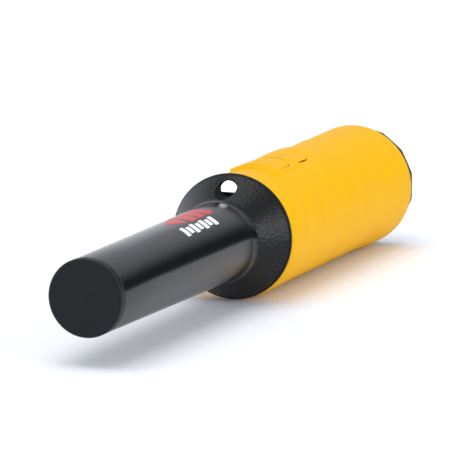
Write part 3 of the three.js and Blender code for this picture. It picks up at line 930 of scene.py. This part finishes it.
innerFinish = {
    "inner_black": "innerBlack", "seal": "sealRubber", "board": "boardGreen", "chip": "chipBlack",
    "nylon": "nylonNatural", "steel": "platedSteel", "brass": "springBrass", "copper": "copperWinding",
    "ferrite": "ferriteGrey", "foam": "closedFoam", "battery_case": "batteryWrap", "lead_red": "leadRed",
    "lead_white": "leadWhite", "clear": "lampGlow", "grip": "softGrip", "smooth_black": "satinBlack",
    "textured_black": "capBlack",
}
for entry in frame["record"]["subparts"]:
    node = nodes[entry["node"]]
    node.data.materials.clear()
    node.data.materials.append(finishes[innerFinish[entry["material_slot"]]])
print("inner pieces finished")

# floor and light

studio = {"floorSize": 12.0, "floorColour": (0.87, 0.88, 0.9, 1), "farGlow": 0.9, "farRange": (0.45, 1.4),
          "airColour": (0.96, 1.0, 1.07, 1), "dimSide": 0.015, "paleSide": 1.12, "above": 1.02, "zenith": 0.6,
          "lowEnd": 0.18, "highStart": 0.5, "zenithRange": (0.6, 0.8), "sideAzimuth": 12.0,
          "sideBlend": (-0.1, 0.12)}
lights = {
    "overheadBox": {"power": 13.8, "size": 1.3, "spot": (-0.25, 0.08, 1.5)},
    "rightBox": {"power": 8.8, "size": 0.7, "spot": (-0.05, -1.35, 0.32)},
}


def makeFloor():
    half = studio["floorSize"] / 2
    floorMaterial = bpy.data.materials.new("paperFloor")
    floorMaterial.use_nodes = True
    tree = floorMaterial.node_tree
    shader = tree.nodes["Principled BSDF"]
    spot = addNode(tree, "ShaderNodeNewGeometry").outputs["Position"]
    paper = effect(tree, "drift", {"Colour": studio["floorColour"], "Patch Size": 90.0, "Amount": 0.01})
    tree.links.new(paper.outputs["Colour"], shader.inputs["Base Color"])
    # far from the object the paper is lit evenly white
    away = addNode(tree, "ShaderNodeVectorMath", {0: spot}, operation="LENGTH")
    glow = addNode(tree, "ShaderNodeMapRange", {
        "Value": away.outputs["Value"], "From Min": studio["farRange"][0], "From Max": studio["farRange"][1],
        "To Min": 0.0, "To Max": studio["farGlow"],
    }, interpolation_type="SMOOTHSTEP").outputs[0]
    tree.links.new(glow, shader.inputs["Emission Strength"])
    shader.inputs["Emission Color"].default_value = (1, 1, 1, 1)
    shader.inputs["Roughness"].default_value = 0.9
    shader.inputs["Specular IOR Level"].default_value = 0.1
    floor = makePiece("floor", [(-half, -half, 0), (half, -half, 0), (half, half, 0), (-half, half, 0)],
                      [(0, 1, 2, 3)], [floorMaterial])


def makeWorld():
    # pale overhead; near the horizon it is dim on the -Y side and pale on the +Y side
    world = bpy.data.worlds.new("studio")
    bpy.context.scene.world = world
    world.use_nodes = True
    tree = world.node_tree
    spot = addNode(tree, "ShaderNodeTexCoord").outputs["Generated"]
    height = addNode(tree, "ShaderNodeSeparateXYZ", {0: spot}).outputs["Z"]
    turn = math.radians(studio["sideAzimuth"])
    leftness = addNode(tree, "ShaderNodeVectorMath", {
        0: spot, 1: (-math.sin(turn), math.cos(turn), 0),
    }, operation="DOT_PRODUCT").outputs["Value"]
    side = addNode(tree, "ShaderNodeMapRange", {
        "Value": leftness, "From Min": studio["sideBlend"][0], "From Max": studio["sideBlend"][1],
        "To Min": studio["dimSide"], "To Max": studio["paleSide"],
    }, interpolation_type="SMOOTHSTEP").outputs[0]
    above = addNode(tree, "ShaderNodeMapRange", {
        "Value": height, "From Min": studio["zenithRange"][0], "From Max": studio["zenithRange"][1],
        "To Min": studio["above"], "To Max": studio["zenith"],
    }, interpolation_type="SMOOTHSTEP").outputs[0]
    glow = addNode(tree, "ShaderNodeMapRange", {
        "Value": height, "From Min": studio["lowEnd"], "From Max": studio["highStart"],
        "To Min": side, "To Max": above,
    }, interpolation_type="SMOOTHSTEP")
    background = tree.nodes["Background"]
    background.inputs["Color"].default_value = studio["airColour"]
    tree.links.new(glow.outputs[0], background.inputs["Strength"])


def makeLight(name, values):
    data = bpy.data.lights.new(name, "AREA")
    data.energy = values["power"]
    data.size = values["size"]
    light = bpy.data.objects.new(name, data)
    light.location = values["spot"]
    light.rotation_mode = "QUATERNION"
    light.rotation_quaternion = (-Vector(values["spot"])).to_track_quat("-Z", "Y")
    bpy.context.scene.collection.objects.link(light)


makeFloor()
makeWorld()
for lightName, values in lights.items():
    makeLight(lightName, values)
bpy.context.scene.view_settings.view_transform = "Standard"
print("studio lit")
